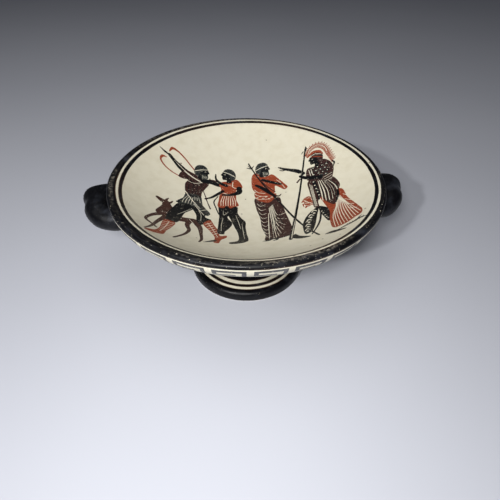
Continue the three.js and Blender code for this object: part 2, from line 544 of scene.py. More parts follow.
class Painting:
    # shapes in the order they are brushed on; "bare" takes paint away down to the slip
    def __init__(self, grid):
        self.grid = grid
        self.shapes = []

    def add(self, colour, loop):
        # long edges are stepped, so that they can bend with the wall
        stepped = []
        for a, b in zip(loop, loop[1:] + loop[:1]):
            a, b = Vector(a[:2]), Vector(b[:2])
            pieces = max(1, math.ceil((b - a).length / self.grid))
            stepped += [a.lerp(b, k / pieces) for k in range(pieces)]
        loop = stepped
        area = sum(a[0] * b[1] - b[0] * a[1] for a, b in zip(loop, loop[1:] + loop[:1]))
        self.shapes.append((colour, loop if area > 0 else loop[::-1]))

    def stroke(self, colour, points, widths):
        if not isinstance(widths, (list, tuple)):
            widths = [widths] * len(points)
        self.add(colour, widened(points, widths))

    def patch(self, colour, points, steps=6):
        self.add(colour, curveThrough(points, steps, closed=True))

    def corner(self, colour, points):
        self.add(colour, [Vector(point) for point in points])

    def disc(self, colour, place, radius, squash=1.0, steps=14):
        self.add(colour, [
            Vector((place[0] + radius * math.cos(2 * math.pi * k / steps),
                    place[1] + radius * squash * math.sin(2 * math.pi * k / steps)))
            for k in range(steps)
        ])

    def cut(self):
        # one flat triangulation; each triangle takes the last colour brushed over it
        points, loops = [], []
        for _, loop in self.shapes:
            start = len(points)
            points.extend(Vector((p[0], p[1])) for p in loop)
            loops.append(list(range(start, start + len(loop))))
        lows = [min(p[axis] for p in points) for axis in (0, 1)]
        highs = [max(p[axis] for p in points) for axis in (0, 1)]
        across, up = (int((highs[axis] - lows[axis]) / self.grid) for axis in (0, 1))
        for i in range(across + 1):
            for j in range(up + 1):
                inner = Vector((i + 0.37, j + 0.41)) * self.grid
                points.append(Vector((lows[0] + inner[0], lows[1] + inner[1])))
        corners, _, triangles, _, _, owners = delaunay_2d_cdt(points, [], loops, 0, 1e-4)
        byColour = {}
        for triangle, owner in zip(triangles, owners):
            if owner:
                colour = self.shapes[max(owner)][0]
                byColour.setdefault(colour, []).append(tuple(triangle))
        return corners, byColour


def layPaint(name, corners, triangles, place, keyOf=None):
    # a thin closed coat: its face stands proud of the wall and its back is sunk in it
    index, tops, backs, faces = {}, [], [], []
    for triangle in triangles:
        face = []
        for corner in triangle:
            key = keyOf(corners[corner]) if keyOf else corner
            if key not in index:
                index[key] = len(tops)
                point, outward = place(corners[corner])
                tops.append(point + outward * paint["thickness"])
                backs.append(point - outward * paint["thickness"])
            face.append(index[key])
        if len(set(face)) == 3:
            faces.append(tuple(face))
    edges = dict.fromkeys((a, b) for face in faces for a, b in zip(face, face[1:] + face[:1]))
    count = len(tops)
    skin = list(faces) + [tuple(corner + count for corner in reversed(face)) for face in faces]
    for a, b in edges:
        if (b, a) not in edges:
            skin.append((b, a, a + count, b + count))
    return meshFrom(name, tops + backs, skin)


def onBowl(flat):
    x, y, _ = turned @ Vector((flat[0], flat[1], 0))
    height = bowlCentre - math.sqrt(bowlRadius ** 2 - x * x - y * y)
    outward = Vector((-x, -y, bowlCentre - height)) / bowlRadius
    point = Vector((x, y, height))
    return point + outward * wander(point), outward


def pleats(art, top, bottom, count, width, colour="bare", bend=0.0):
    # fold lines running from one edge to another
    (a0, a1), (b0, b1) = [[Vector(p) for p in edge] for edge in (top, bottom)]
    for fold in range(count):
        share = (fold + 0.5) / count
        start, end = a0.lerp(a1, share), b0.lerp(b1, share)
        side = (b1 - b0).normalized() * bend * (share - 0.5)
        art.stroke(colour, [start, start.lerp(end, 0.55) + side, end], [width * 0.6, width, width * 0.7])


def scallops(art, colour, edge, radius, count):
    # a wavy hem of small lobes
    line = curveThrough(edge, 8)
    for lobe in range(count):
        place = line[int((lobe + 0.5) / count * (len(line) - 1))]
        art.disc(colour, place, radius, 0.8, 10)


def head(art, place, size, facing, hair="grey", beard=False, band="bare"):
    # one plain textbook profile serves every figure
    def local(points):
        return [(place[0] + facing * size * x, place[1] + size * y) for x, y in points]
    art.patch("black", local([(0.0, 0.5), (0.27, 0.4), (0.36, 0.2), (0.48, -0.02), (0.37, -0.1),
                              (0.38, -0.22), (0.31, -0.4), (0.06, -0.42), (0.06, -0.66), (-0.26, -0.62),
                              (-0.26, -0.3), (-0.42, 0.05), (-0.32, 0.38)]), 4)
    if beard:
        art.patch(hair, local([(0.36, -0.2), (0.4, -0.48), (0.2, -0.64), (-0.02, -0.5), (-0.04, -0.22),
                               (0.12, -0.14), (0.24, -0.24)]), 4)
        for k in range(4):
            art.stroke("bare", local([(0.02 + 0.09 * k, -0.26 - 0.02 * k), (0.06 + 0.09 * k, -0.5)]),
                       [0.28, 0.22])
    art.patch(hair, local([(0.3, 0.38), (0.04, 0.58), (-0.36, 0.48), (-0.54, 0.1), (-0.46, -0.34),
                           (-0.24, -0.42), (-0.14, -0.04), (0.06, 0.16), (0.24, 0.22)]), 4)
    for k in range(11):
        angle = math.radians(20 + 20 * k)
        ring = [(r * math.cos(angle + turn) - 0.06, r * math.sin(angle + turn) + 0.03)
                for r, turn in ((0.3, 0.0), (0.4, 0.1), (0.49, 0.02))]
        art.stroke("black", local(ring), [size * 0.03, size * 0.045, size * 0.02])
    art.stroke(band, local([(-0.5, -0.06), (-0.12, 0.16), (0.3, 0.28)]), [0.5, 0.7, 0.5])
    art.disc("bare", local([(0.2, 0.06)])[0], size * 0.055, 0.7, 10)
    art.disc("black", local([(0.21, 0.06)])[0], size * 0.025, 1, 8)


def paintHunter(art):
    # striding archer in a short tunic, arm raised with a long double bow behind it
    art.stroke("red", [(-54.5, 27.7), (-60, 29), (-67, 32.5), (-71.5, 38), (-70.5, 42), (-67.5, 42.5)],
               [0.9, 1.1, 1.2, 1.4, 2.2, 0.8])
    art.stroke("red", [(-43.5, 38), (-48, 43), (-54, 49), (-59.5, 52.8), (-64, 53.5), (-66, 49.5)],
               [0.8, 1.1, 1.2, 1.5, 2.4, 0.8])
    art.stroke("black", [(-65, 45.6), (-69, 47.2), (-73.5, 49.4)], [0.9, 1.8, 0.5])
    art.stroke("black", [(-51.5, 35), (-56.5, 38.4), (-61, 42), (-65.6, 46.2)], [5.4, 4.9, 3.2, 2.8])
    art.stroke("bare", [(-52, 35.6), (-57, 39.2), (-61.5, 43)], [0.5, 0.5, 0.3])
    art.patch("maroon", [(-56.5, 27.5), (-52.5, 36.5), (-46, 36), (-38, 31.5), (-32, 28), (-34, 22),
                         (-36.5, 16), (-37.5, 9), (-48, 8), (-50, 15), (-50.5, 22), (-49, 27),
                         (-53, 26.5)])
    art.stroke("bare", [(-52.5, 35.5), (-45, 31), (-37.5, 28)], 1.1)
    pleats(art, ((-49, 26), (-36, 27)), ((-47.5, 11), (-38, 11)), 4, 0.7, "black", 2)
    art.stroke("bare", [(-50.6, 26.6), (-44, 24.8), (-38, 27.6)], 0.5)
    art.stroke("black", [(-51, 30), (-46, 26), (-42.6, 20)], [0.7, 1.0, 0.5])
    art.stroke("bare", [(-50, 13), (-43.5, 6), (-38, 0)], 1.0)
    art.stroke("black", [(-37, 30), (-30, 30.4), (-24, 28.5), (-18, 29)], [4.6, 4.6, 3.8, 2.8])
    art.stroke("maroon", [(-32, 33), (-27, 32.5), (-24, 31.5)], [0.8, 1.6, 0.8])
    head(art, (-38.2, 39.6), 12.5, 1, beard=True)
    art.patch("black", [(-51.5, -4), (-38, -2), (-41.5, -9), (-46, -16), (-47.5, -24), (-49.5, -33),
                        (-56, -33.5), (-57.5, -25), (-55.5, -14)])
    art.patch("black", [(-45, -2), (-35, 0), (-32, -8), (-31, -16), (-26.5, -18.5), (-27.5, -21.5),
                        (-33, -28), (-36.5, -24), (-38, -15), (-41.5, -8)])
    art.stroke("bare", [(-42, -7.5), (-47, -15), (-51, -21)], [0.3, 0.4, 0.3])
    art.stroke("bare", [(-38, -5), (-34.5, -14), (-34, -22)], [0.3, 0.4, 0.3])
    art.patch("red", [(-57, -33.5), (-50.2, -34), (-50.5, -41), (-52.5, -51), (-53.2, -59.5),
                      (-58.5, -61.5), (-63.5, -61), (-63, -58.6), (-59, -56), (-57.4, -49), (-57.8, -41)])
    art.patch("red", [(-31.6, -25.5), (-27.2, -19), (-23.5, -26), (-20.2, -33), (-18.2, -41), (-14, -40),
                      (-13.4, -42.5), (-17, -48), (-18.4, -54.5), (-21.5, -54), (-21.6, -45),
                      (-25.5, -36)])
    for lace in range(6):
        share = lace / 6
        art.stroke("bare", [(-57.4 + share, -37 - 18 * share),
                            (-50.5 - 2 * share, -35.5 - 18 * share)], 0.55)
        art.stroke("bare", [(-30 + 8.4 * share, -26 - 17 * share),
                            (-26 + 7.4 * share, -22.5 - 17 * share)], 0.55)
    art.stroke("bare", [(-54, -35), (-54.6, -45), (-55.8, -55)], 0.5)
    art.stroke("bare", [(-28.5, -23.5), (-23.5, -34), (-19.6, -44)], 0.5)
    art.patch("grey", [(-48.5, 10), (-37.5, 11), (-35.5, 4), (-35, -2), (-40, -3.5), (-46, -3),
                       (-52.5, -5), (-53.5, -2), (-50, 4)])
    pleats(art, ((-47.5, 8), (-38, 9)), ((-51, -2.5), (-36, -2)), 7, 0.45, bend=2)
    art.stroke("black", [(-48.5, 9.6), (-43, 8.4), (-37.5, 10)], 1.4)
    art.stroke("grey", [(-40.5, 3), (-36, -3.5), (-31, -10.5)], [4.2, 6.2, 6.4])
    for k in range(5):
        art.stroke("maroon", [(-40.4 + 1.9 * k, 2.6 - 2.9 * k), (-36.4 + 1.5 * k, 1.2 - 2.7 * k)], 0.5)
    art.stroke("bare", [(-41, -1), (-36.5, -7.5), (-32.6, -13)], 0.6)
    art.stroke("bare", [(-36.6, -8.6), (-31, -5)], 0.5)
    art.stroke("bare", [(-49, 12), (-43, 3.5), (-36.5, -5)], [0.6, 0.8, 0.5])
    art.stroke("black", [(-53.5, -3.4), (-50.5, -1)], [1.8, 1.0])


def paintDeer(art):
    # the deer looks back while it trots, half hidden by the hunter's stride
    art.stroke("brown", [(-61, -24.5), (-53, -26.5), (-46, -26), (-39, -24.5)], [8.5, 7.5, 6.6, 6.2])
    art.stroke("brown", [(-59.5, -23), (-58.8, -15.5), (-60.4, -10.2)], [10.5, 8.4, 5.2])
    art.stroke("brown", [(-60, -9.6), (-63.6, -8.6), (-67.2, -6.6)], [5.4, 4.4, 2.6])
    art.stroke("brown", [(-60.6, -9.4), (-60.9, -6), (-59.8, -3)], [1.9, 1.9, 0.7])
    art.stroke("brown", [(-59.4, -10), (-57.6, -8), (-56.4, -5)], [1.9, 1.8, 0.7])
    art.stroke("brown", [(-61, -27), (-65.5, -33.5), (-67.4, -42.5), (-62.5, -47), (-58.8, -50.6)],
               [4.0, 2.6, 2.0, 1.6, 1.2])
    art.stroke("brown", [(-57.5, -29), (-60.5, -40), (-62, -51), (-64, -58.6)], [4.0, 2.6, 1.8, 1.2])
    art.stroke("brown", [(-41.5, -25), (-42, -33), (-39.8, -40), (-41.4, -48), (-46.5, -59)],
               [4.4, 3.4, 2.6, 2.0, 1.5])
    art.stroke("brown", [(-38.5, -24.5), (-33.5, -32), (-31.4, -42), (-29.8, -52), (-30.6, -57)],
               [5.6, 4.0, 2.4, 1.9, 1.4])
    art.stroke("bare", [(-42, -23.2), (-38.6, -28), (-36, -33)], 0.45)
    for k in range(6):
        art.disc("bare", (-60.5 + 2.6 * k, -24 - 0.5 * k + 1.3 * (k % 2)), 0.42, 1, 8)
    art.disc("bare", (-62.4, -9.6), 0.45, 1, 8)


def paintAttendant(art):
    # short red tunic, facing the hunter
    art.patch("black", [(-21.6, 4), (-13.5, 4), (-13, -6), (-14.6, -12), (-10.6, -20), (-12.6, -28),
                        (-15.4, -34), (-15.8, -38), (-20, -37.5), (-20.8, -26), (-21, -12)])
    art.patch("black", [(-14.5, 4), (-7.5, 3), (-7, -5), (-4, -12), (-0.8, -17), (-0.6, -25), (0.4, -35),
                        (1.4, -47.5), (-3, -51.5), (-10.8, -53.6), (-11.4, -51.6), (-5.6, -47.5),
                        (-5.8, -36), (-8.6, -26), (-12.4, -14), (-15, -7)])
    art.stroke("black", [(-21, -50.5), (-25, -53.6), (-28, -56)], [2.6, 1.8, 0.7])
    for fold in (((-18.5, -3), (-17.6, -9), (-14.5, -4)), ((-18, -14), (-18.6, -24), (-18, -33)),
                 ((-8.5, -8), (-6, -18), (-4, -28)), ((-3.4, -20), (-2.2, -32), (-1, -44))):
        art.stroke("bare", fold, [0.25, 0.38, 0.25])
    art.patch("red", [(-23.5, 29), (-21.5, 32.5), (-15, 34.5), (-9.5, 37), (-5.5, 33), (-4.2, 27.5),
                      (-8.5, 26.5), (-10, 20.5), (-20.8, 19.5), (-21.8, 25)])
    art.patch("red", [(-21.4, 19), (-10.2, 20.5), (-8.6, 12), (-6.6, 5), (-10, 3.4), (-13, 1), (-16, 4),
                      (-18.6, 0.6), (-22.8, 1.4), (-22.8, 10)])
    pleats(art, ((-20, 17), (-11, 18)), ((-21.6, 3), (-8.2, 5)), 7, 0.6, bend=2)
    art.stroke("bare", [(-21.4, 20.2), (-15, 19), (-10, 20.2)], 0.6)
    art.stroke("bare", [(-12.2, 34), (-12, 28), (-4.5, 26.6)], 0.6)
    art.stroke("bare", [(-20.5, 30.5), (-14, 30.2)], 0.4)
    art.stroke("black", [(-6.8, 27), (-6.6, 22.5), (-13, 18.6), (-20, 17.4)], [4.6, 4.8, 2.8, 2.0])
    art.stroke("black", [(-20, 22), (-24.5, 17), (-29, 12), (-33.4, 9)], [2.8, 2.6, 2.0, 1.6])
    art.stroke("black", [(-17.5, 29), (-22.5, 31), (-26.5, 35), (-27, 40)], [3.2, 2.6, 1.8, 1.2])
    art.stroke("maroon", [(-37.4, 22.5), (-33.5, 12), (-31, 4), (-28.4, -3)], [0.5, 0.9, 0.8, 1.2])
    art.stroke("black", [(-23.6, 15), (-26.4, 7), (-24.5, 0), (-21.4, -9)], [0.7, 1.1, 1.0, 0.9])
    head(art, (-16.8, 40.6), 12.5, -1)


def paintElder(art):
    # long pleated dress, red wrap, leaning on a staff
    art.patch("maroon", [(6.8, 15), (16, 12), (26, 14), (28, 4), (30.5, -10), (32.8, -26), (33.4, -38),
                         (30.4, -43), (22, -45), (13.6, -47.5), (13.8, -38), (11.4, -26), (10.4, -12),
                         (7.4, 2)])
    knot = Vector((17.5, 1))
    for k in range(8):
        share = k / 7
        end = Vector((19.5 + 12.6 * share, -44.5 + 38 * share * share))
        sag = Vector((1.5 - 1.0 * share, -7 - 5 * share))
        art.stroke("bare", [knot + Vector((0.4 * k, 0.6 * k)), knot.lerp(end, 0.45) + sag * 0.6, end],
                   [0.3, 0.6, 0.35])
    for k in range(9):
        y = 8 - 5.8 * k
        art.stroke("bare", [(8.2 + 0.66 * k, y), (11 + 0.6 * k, y - 3.6), (14.8 + 0.33 * k, y - 2)],
                   [0.3, 0.5, 0.3])
        art.stroke("black", [(8.4 + 0.66 * k, y - 2.4), (11.2 + 0.6 * k, y - 6),
                             (14.4 + 0.33 * k, y - 4.6)], [0.3, 0.6, 0.3])
    for k in range(5):
        art.stroke("black", [(18.6 + 1.4 * k, -2 - 0.4 * k), (19.6 + 2.0 * k, -20 + 1.6 * k),
                             (19.6 + 2.6 * k, -42 + 5.6 * k)], [0.3, 0.7, 0.3])
    art.stroke("bare", [(17, -6), (16.6, -24), (16.4, -44)], [0.4, 0.7, 0.4])
    art.stroke("black", [(13.2, -46.6), (22, -45.6), (30, -43)], [0.8, 1.0, 0.6])
    art.stroke("black", [(18, -45.4), (15, -48), (11.8, -48.6)], [2.4, 1.8, 0.7])
    art.stroke("black", [(22, -45), (21, -47.6), (18.6, -48.6)], [2.2, 1.6, 0.7])
    art.patch("red", [(4.2, 42), (7, 44.5), (15, 40), (21, 42), (26, 37), (30.5, 30.5), (33.6, 25),
                      (31, 22.6), (27, 26), (23.5, 28.5), (22.5, 20), (14, 18.5), (5.4, 24.5), (3.6, 33)])
    art.patch("red", [(6.4, 22), (14, 19), (24, 19), (21.5, 12.5), (18, 8.6), (12.5, 10), (7.6, 14)])
    for k in range(6):
        art.disc("bare", (8.6 + 2.3 * k, 15.5 - 0.5 * k + 2.2 * (k % 2)), 0.9, 0.8, 10)
        art.disc("maroon", (8.6 + 2.3 * k, 15.5 - 0.5 * k + 2.2 * (k % 2)), 0.4, 0.8, 8)
    art.stroke("bare", [(15, 26.4), (19, 22), (22, 18)], 0.4)
    for k in range(3):
        art.stroke("bare", [(6.2, 25.4 - 4.4 * k), (9, 22.2 - 4.2 * k),
                            (15 + 2 * k, 20.4 - 3.6 * k)], 0.5)
    art.stroke("bare", [(24.6, 35.4), (27.8, 31.6), (31.4, 24)], 0.4)
    art.stroke("maroon", [(13, 34), (18, 27), (23.5, 21)], [0.6, 1.0, 0.6])
    art.stroke("black", [(13, 36.6), (19, 34), (25, 31), (28.6, 29.4)], [2.8, 2.8, 2.8, 1.8])
    art.stroke("black", [(7.6, 30.6), (12, 27.6), (18, 21.5), (23.4, 15.6)], [2.6, 3.4, 3.2, 2.2])
    art.stroke("maroon", [(22.4, 17), (26, 15.5), (28, 17.5)], [1.6, 1.6, 0.6])
    head(art, (13.6, 48.2), 12.5, 1, beard=True)
    art.stroke("black", [(0.9, 54.6), (11, 36), (25.5, 9), (37, -20), (48.4, -52.4)],
               [1.2, 1.3, 1.5, 1.6, 1.5])
    art.stroke("black", [(-0.5, 50.2), (3.4, 49.6), (5.4, 52.6)], [0.6, 1.2, 0.6])
    art.stroke("black", [(0.6, 52.4), (3.2, 49.8)], [0.6, 0.9])


def paintArmed(art):
    # tall crest, scaled bodice, long red robe, one arm held out
    art.patch("black", [(54.6, -9), (60, -14), (63.6, -24), (62.6, -31), (58.2, -34), (56, -26),
                        (54.4, -17)])
    scallops(art, "bare", [(55.4, -16), (57, -24), (58.6, -31)], 0.6, 5)
    art.patch("red", [(57, 6), (66, 6), (72.4, 3.6), (74.4, -10), (77.4, -24), (78.6, -36), (76.6, -41),
                      (72, -43.5), (66, -47), (58.8, -48), (58.6, -34), (60.6, -20), (58.4, -6)])
    for k in range(10):
        share = k / 9
        end = Vector((59.8 + 17.6 * share, -46.6 + 9.6 * share * share))
        bow = (4.5 - 3 * share) * math.sin(math.pi * share) + 1
        art.stroke("bare", [(62 + 7.5 * share, 2 - 4 * share), (66.4 + 6 * share, -13 + bow - 3 * share),
                            (61.6 + 14 * share, -30 + 1.6 * bow), end], [0.3, 0.5, 0.55, 0.4])
    for k in range(4):
        art.stroke("bare", [(72.4 - 0.2 * k, -4 - 7 * k), (75 + 0.6 * k, -9 - 7 * k)], [0.35, 0.5])
    art.patch("maroon", [(50, 25), (58, 27), (67.4, 23), (71.4, 15), (72.2, 8), (69.6, 2), (67.2, -8),
                         (65, -13), (60.6, -6), (57.4, 2), (55, -2), (54.6, -9.6), (51.8, -9.4), (51, 2),
                         (50, 14)])
    for k in range(6):
        share = k / 5
        art.stroke("bare", [(57.6 + 6 * share, 22.6), (58.6 + 10.6 * share, 8 + 2 * share),
                            (58.4 + 11.4 * share, -3 - 9 * share + 9 * share * share)], [0.4, 0.9, 0.5])
    for k in range(5):
        share = k / 4
        art.stroke("black", [(58.4 + 6 * share, 21.6), (59.9 + 10 * share, 7.6 + 2 * share),
                             (59.6 + 10.4 * share, -5 - 8 * share + 9 * share * share)], [0.4, 0.9, 0.4])
    art.stroke("black", [(54.1, 25), (55.3, 16.6), (56.4, 7.6), (56, 0)], [2.6, 3.0, 2.4, 1.2])
    for k in range(5):
        art.disc("bare", (54.1 + 0.6 * k, 23 - 4.4 * k), 0.62, 1, 10)
    for k in range(3):
        art.stroke("bare", [(50.9 + 0.9 * k, 22 - 1.5 * k), (51.8 + 0.7 * k, 6), (52.4 + 0.6 * k, -8)],
                   [0.3, 0.4, 0.3])
    art.stroke("black", [(69.6, 4), (68.8, -4), (66.4, -11)], [1.0, 1.6, 1.0])
    art.patch("maroon", [(49, 32.6), (50.6, 39.4), (57, 40), (63, 44.5), (68, 40), (70.4, 33), (69.6, 26),
                         (66.6, 19), (61, 22), (50, 26.5)])
    for row in range(4):
        for column in range(4):
            place = (53.6 + 3.5 * column + 1.5 * (row % 2), 27.6 + 3.6 * row)
            art.disc("black" if row % 2 else "grey", place, 1.6, 0.9, 10)
            art.disc("bare", place, 0.5, 0.9, 8)
    for k in range(3):
        art.stroke("bare", [(62 + 0.4 * k, 24.5 - 2.6 * k), (68.8 - 0.4 * k, 26.5 - 2.8 * k)], 0.45)
    art.stroke("bare", [(51.6, 38), (52.6, 31)], 0.5)
    art.stroke("bare", [(53.4, 38.4), (54.4, 31)], 0.5)
    art.stroke("black", [(60, 26), (53, 28.6), (47.6, 31), (44.6, 33.6)], [4.2, 3.8, 3.2, 2.8])
    art.stroke("black", [(47, 36), (42, 40.6), (36, 43.6), (31, 46), (26.8, 48.4)],
               [3.4, 3.6, 2.8, 2.2, 1.0])
    art.stroke("black", [(33, 44.6), (30, 44.2), (27.6, 45.4)], [1.2, 1.0, 0.5])
    art.stroke("bare", [(46, 36.4), (43, 36.8)], [0.5, 0.9])
    art.stroke("maroon", [(44, 30.6), (41.6, 27.6)], [1.2, 1.6])
    head(art, (57.4, 47.4), 11.5, -1, hair="maroon", band="red")
    # crest, from the brow over the helmet and down the neck
    spine = curveThrough([(51.2, 52), (54, 57.6), (59.4, 59.2), (64.6, 55.4), (67.6, 47.4), (70.2, 38)], 7)
    art.add("red", widened([tuple(p) for p in spine[::7]], [1.4, 2.6, 3.0, 3.0, 2.6, 1.4]))
    for k in range(1, len(spine) - 1):
        ahead = (spine[k + 1] - spine[k - 1]).normalized()
        out = Vector((-ahead[1], ahead[0]))
        reach = 3.9 if k % 2 else 3.1
        art.stroke("red", [spine[k] + out * 0.8, spine[k] + out * reach], [1.15, 0.35])
        art.stroke("bare", [spine[k] - out * 1.1, spine[k] + out * 0.9], [0.2, 0.3])
    art.stroke("bare", [spine[k] + Vector((0.2, 1.0)) for k in range(2, len(spine) - 6, 4)], 0.45)
    art.stroke("red", [(51.6, 51.4), (56, 54.6), (61, 53.4), (63.6, 50)], [1.2, 2.4, 2.2, 1.0])
    art.stroke("bare", [(52.4, 49.8), (57, 52.4), (62, 50.4)], 0.45)
    art.stroke("black", [(70, 39), (71.4, 36), (70.4, 32.6)], [0.8, 1.4, 0.8])
    art.stroke("black", [(50, 60.4), (47.8, 46), (43, 17), (36.9, -15.3), (30.2, -50)],
               [1.3, 1.4, 1.5, 1.9, 2.6])
    art.stroke("black", [(50, 58.6), (50.6, 60.8), (50.4, 62.6)], [1.4, 1.8, 0.4])
    art.stroke("black", [(46.6, 56.6), (48.4, 58.4)], [0.4, 0.8])
    art.stroke("bare", [(36.4, -20), (33, -37), (31, -49)], [0.3, 0.6, 0.5])


def paintProps(art):
    # a shield seen edge on, a red sketchy plant, and strokes of ground
    art.stroke("red", [(43.4, 1.6), (46, 5.4), (48.8, 6.6), (50.6, 3.8)], [1.2, 1.8, 1.6, 0.8])
    art.stroke("red", [(44.6, -1.4), (47.4, 2.2), (50.8, 0.4)], [1.0, 2.2, 1.0])
    art.stroke("red", [(45.4, -6.4), (47.4, -3.2), (50.8, -4.2)], [1.2, 2.4, 1.2])
    art.patch("red", [(45, 4), (49, 5), (50.8, 1), (50.4, -4), (47, -5.6), (45, -2)])
    art.stroke("bare", [(44, 0.6), (47, -1), (50.4, -1.4)], 0.5)
    art.stroke("bare", [(45, -3.4), (48, -4.4), (50.2, -3.6)], 0.5)
    art.stroke("red", [(44.2, -4.6), (43.8, -1.2)], [0.6, 1.0])
    for k in range(6):
        art.stroke("bare", [(44.8 + 1.1 * k, 4.4 - 1.5 * k), (45.8 + 1.1 * k, 1.6 - 1.2 * k)], 0.45)
    art.patch("black", [(54, -9.4), (48.6, -13.4), (44.6, -19), (41.4, -27), (40.2, -36), (41, -46.4),
                        (45, -44), (48.8, -34), (51.6, -22)])
    for k, (x, y) in enumerate(((50.6, -13.4), (47.8, -18.6), (45.6, -25), (44.2, -31.6), (43, -38.6))):
        art.stroke("bare", [(x - 2, y - 2.2), (x - 0.2, y + 0.6), (x + 1.8, y - 1.2)], [0.5, 1.2, 0.5])
        art.disc("bare", (x - 0.4, y - 3.4), 0.9 + 0.2 * (k % 2), 1, 10)
    art.stroke("black", [(55, -10), (54.4, -21), (51.6, -33), (44.6, -48.4)], [0.9, 1.3, 1.4, 0.9])
    art.patch("black", [(31.4, -48), (34, -42.4), (37, -47), (43.5, -51.4), (37, -52)])
    art.patch("black", [(51.6, -54.6), (56, -52.6), (60.4, -53.4), (64.6, -55.6), (60, -56.4),
                        (55.4, -56)])
    art.stroke("grey", [(60, -53.4), (65.4, -51), (70, -49.6), (74, -47.4), (78.6, -48.6)],
               [0.6, 1.7, 1.5, 1.9, 0.4])
    for k in range(7):
        art.stroke("black", [(65 + 1.7 * k, -51.6 + 0.5 * k), (66.6 + 1.7 * k, -49 + 0.5 * k)], 0.45)
    art.stroke("grey", [(72, -48.2), (75, -45), (76.4, -44)], [0.8, 0.8, 0.3])


def paintPicture():
    # later figures are brushed over earlier ones
    art = Painting(grid=2.2)
    paintDeer(art)
    paintHunter(art)
    paintAttendant(art)
    paintElder(art)
    paintProps(art)
    paintArmed(art)
    corners, byColour = art.cut()
    coats = {}
    for colour, triangles in byColour.items():
        if colour != "bare":
            coats[colour] = layPaint("figures_" + colour, corners, triangles, onBowl)
    return coats


meander = {
    "units": 26,
    "length": 600.0,     # the band rolled out flat
    "start": 1.8,        # degrees round from the picture's upright to the middle of a gap
    "top": (5.1, 7.3),   # mm down from the lip's edge
    "inner": (10.0, 12.4),
    "base": (14.7, 17.0),
    "gap": 4.0,
    "bar": 2.6,
    "short": 3.4,        # the inner line stops this short of the next bar
}


def paintMeander():
    length = meander["length"]
    unit = length / meander["units"]
    art = Painting(grid=2.4)
    bar, top, inner, base = (meander[name] for name in ("bar", "top", "inner", "base"))
    art.corner("meander", [(0, base[0]), (length, base[0]), (length, base[1]), (0, base[1])])
    for k in range(meander["units"]):
        left = k * unit + meander["gap"] / 2
        right = (k + 1) * unit - meander["gap"] / 2
        stop = right - bar - meander["short"]
        art.corner("meander", [(left, top[0]), (right, top[0]), (right, base[0] + 1),
                               (right - bar, base[0] + 1), (right - bar, top[1]), (left + bar, top[1]),
                               (left + bar, inner[0]), (stop, inner[0]), (stop, inner[1]),
                               (left, inner[1])])
    corners, byColour = art.cut()
    start = math.radians(meander["start"])

    def place(flat):
        angle = start + 2 * math.pi * flat[0] / length
        circle = Vector((math.sin(angle), -math.cos(angle), 0))
        drift = noise.noise(circle * 9 + Vector((0, 0, flat[1] / 9)))
        shift = noise.noise(circle * 11 + Vector((5, 0, flat[1] / 6)))
        angle += 0.0035 * shift
        away = turned @ Vector((math.sin(angle), -math.cos(angle), 0))
        (radius, height), (outR, outZ) = outlineAt(flat[1] + 0.35 * drift)
        point = away * radius + Vector((0, 0, height))
        outward = away * outR + Vector((0, 0, outZ))
        push = wander(point) + swell(handleGap(point))
        return point + outward * push, outward

    def keyOf(flat):
        # the two ends of the band meet
        return (round((flat[0] % length) * 200) % round(length * 200), round(flat[1] * 200))

    kept = []
    for triangle in byColour["meander"]:
        middle = sum((corners[i] for i in triangle), Vector((0, 0))) / 3
        if handleGap(place(middle)[0]) > handle["patch"] * 0.6:
            kept.append(triangle)
    return layPaint("meander_band", corners, kept, place, keyOf)


def put(tree, kind, settings=None, **values):
    made = tree.nodes.new("ShaderNode" + kind)
    for name, value in (settings or {}).items():
        setattr(made, name, value)
    for name, value in values.items():
        feed(tree, made, name.replace("_", " "), value)
    return made


def feed(tree, made, name, value):
    socket = made.inputs[name]
    if isinstance(value, bpy.types.NodeSocket):
        tree.links.new(value, socket)
    else:
        socket.default_value = value


def work(tree, operation, a, b=0.0, clamp=False):
    made = put(tree, "Math", {"operation": operation, "use_clamp": clamp})
    feed(tree, made, 0, a)
    feed(tree, made, 1, b)
    return made.outputs[0]


def plus(tree, a, b):
    return work(tree, "ADD", a, b)


def minus(tree, a, b):
    return work(tree, "SUBTRACT", a, b)


def times(tree, a, b, clamp=False):
    return work(tree, "MULTIPLY", a, b, clamp)


def ramp(tree, value, low, high, lowTo=0.0, highTo=1.0):
    made = put(tree, "MapRange", {"interpolation_type": "SMOOTHSTEP"}, Value=value,
               From_Min=low, From_Max=high, To_Min=lowTo, To_Max=highTo)
    return made.outputs["Result"]


def blendColours(tree, share, a, b):
    made = put(tree, "Mix", {"data_type": "RGBA"})
    feed(tree, made, 0, share)
    feed(tree, made, 6, a)
    feed(tree, made, 7, b)
    return made.outputs[2]


def newGroup(name, inputs, outputs):
    tree = bpy.data.node_groups.new(name, "ShaderNodeTree")
    for label, kind, value in inputs:
        socket = tree.interface.new_socket(label, in_out="INPUT", socket_type="NodeSocket" + kind)
        if value is not None:
            socket.default_value = value
    for label, kind in outputs:
        tree.interface.new_socket(label, in_out="OUTPUT", socket_type="NodeSocket" + kind)
    return tree, tree.nodes.new("NodeGroupInput"), tree.nodes.new("NodeGroupOutput")


def useGroup(tree, group, **values):
    made = tree.nodes.new("ShaderNodeGroup")
    made.node_tree = group
    for name, value in values.items():
        feed(tree, made, name.replace("_", " "), value)
    return made


